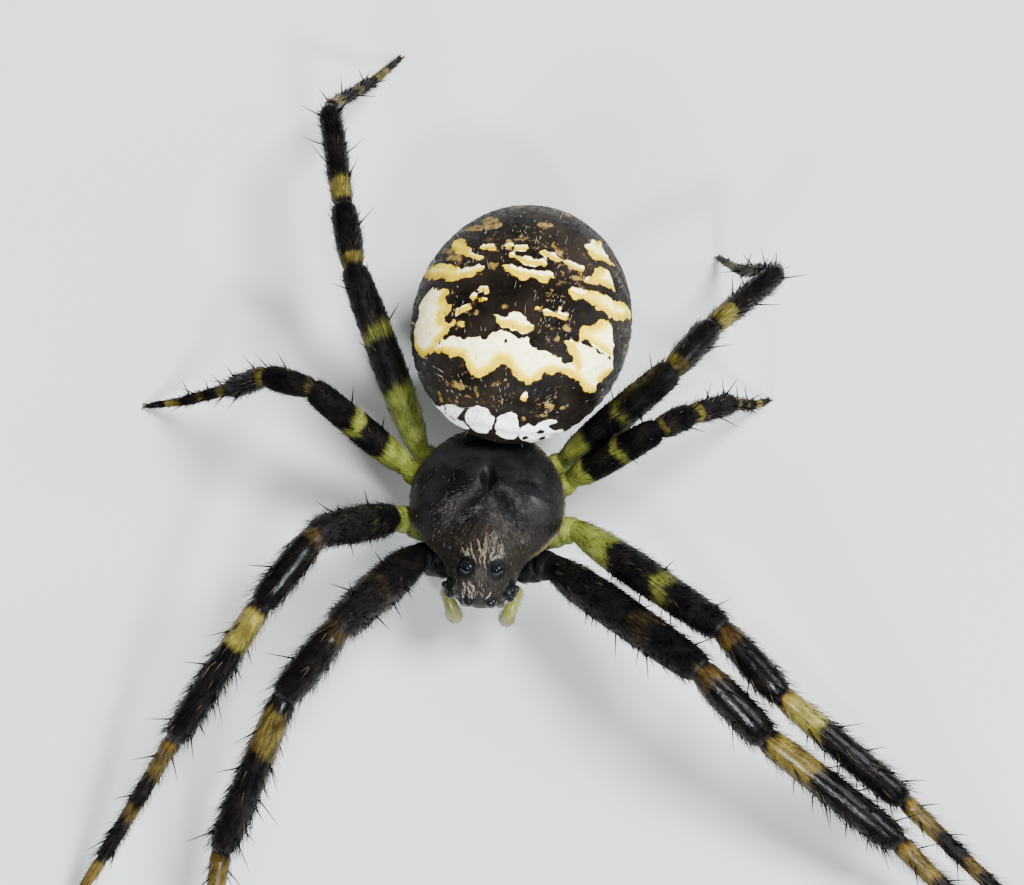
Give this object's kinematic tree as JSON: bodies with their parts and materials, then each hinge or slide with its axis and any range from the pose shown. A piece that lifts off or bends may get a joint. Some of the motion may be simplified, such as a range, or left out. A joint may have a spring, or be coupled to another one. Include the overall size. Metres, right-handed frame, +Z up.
{
  "type": "orb-weaver spider, gea zaragosa, still model",
  "caption": "Still life-size orb-weaver spider standing with spread legs: round patterned abdomen, dark head, long banded bristly legs.",
  "frame": {"origin": "on the floor, under the middle of the spread legs' outline", "axes": "+Z up, head towards -Y, the spider's left side towards +X"},
  "size_m": [0.0188, 0.0214, 0.0055],
  "materials": {
    "black_shell": "satin",
    "abdomen_black": "soft satin",
    "leg_black": "satin",
    "leg_amber": "satin",
    "palp_pale": "satin",
    "fang": "gloss",
    "eye": "gloss"
  },
  "bodies": {
    "root": {"cephalothorax": "black_shell", "sternum": "black_shell", "mouthparts": "black_shell", "chelicera_left": "black_shell", "chelicera_right": "black_shell", "pedicel": "black_shell", "spinnerets": "black_shell", "abdomen": "abdomen_black", "fang_left": "fang", "fang_right": "fang", "palp_left": "palp_pale", "palp_right": "palp_pale", "eye_anterior_median_left": "eye", "eye_anterior_median_right": "eye", "eye_anterior_lateral_left": "eye", "eye_anterior_lateral_right": "eye", "eye_posterior_median_left": "eye", "eye_posterior_median_right": "eye", "eye_posterior_lateral_left": "eye", "eye_posterior_lateral_right": "eye", "leg_1_left_femur": "leg_black", "leg_1_left_tibia": "leg_black", "leg_1_left_foot": "leg_amber", "leg_1_right_femur": "leg_black", "leg_1_right_tibia": "leg_black", "leg_1_right_foot": "leg_amber", "leg_2_left_femur": "leg_black", "leg_2_left_tibia": "leg_black", "leg_2_left_foot": "leg_amber", "leg_2_right_femur": "leg_black", "leg_2_right_tibia": "leg_black", "leg_2_right_foot": "leg_amber", "leg_3_left_femur": "leg_black", "leg_3_left_tibia": "leg_black", "leg_3_left_foot": "leg_amber", "leg_3_right_femur": "leg_black", "leg_3_right_tibia": "leg_black", "leg_3_right_foot": "leg_amber", "leg_4_left_femur": "leg_black", "leg_4_left_tibia": "leg_black", "leg_4_left_foot": "leg_amber", "leg_4_right_femur": "leg_black", "leg_4_right_tibia": "leg_black", "leg_4_right_foot": "leg_amber"}
  },
  "joints": []
}
